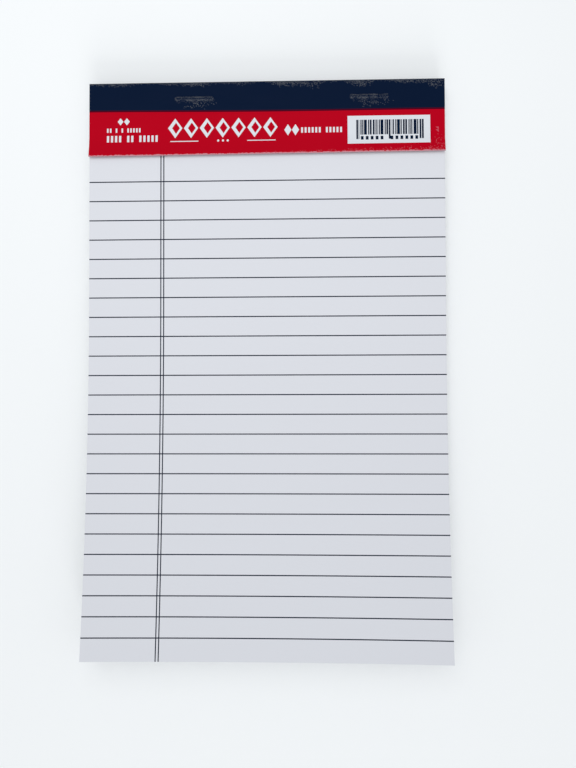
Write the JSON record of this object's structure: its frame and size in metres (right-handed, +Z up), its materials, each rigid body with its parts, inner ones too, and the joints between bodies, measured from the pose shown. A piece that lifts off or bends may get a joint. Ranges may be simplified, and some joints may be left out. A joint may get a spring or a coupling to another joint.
{
  "type": "legal pad",
  "caption": "Top-bound pad of ruled white sheets on a chipboard back, stapled under a folded navy and red binding strip, its free edge curling up.",
  "frame": {"origin": "middle of the pad's outline, on the surface that it lies on", "axes": "+Y towards the bound edge, +X to the right as the ruled side is read, +Z up out of the ruled side"},
  "size_m": [0.127, 0.2032, 0.0119],
  "materials": {
    "sheet_paper": "matte",
    "grey_chipboard": "matte",
    "printed_card": "satin",
    "staple_wire": "satin"
  },
  "bodies": {
    "root": {"ruled_sheets": "sheet_paper", "backing_board": "grey_chipboard", "binding_strip": "printed_card", "left_staple": "staple_wire", "right_staple": "staple_wire"}
  },
  "joints": []
}
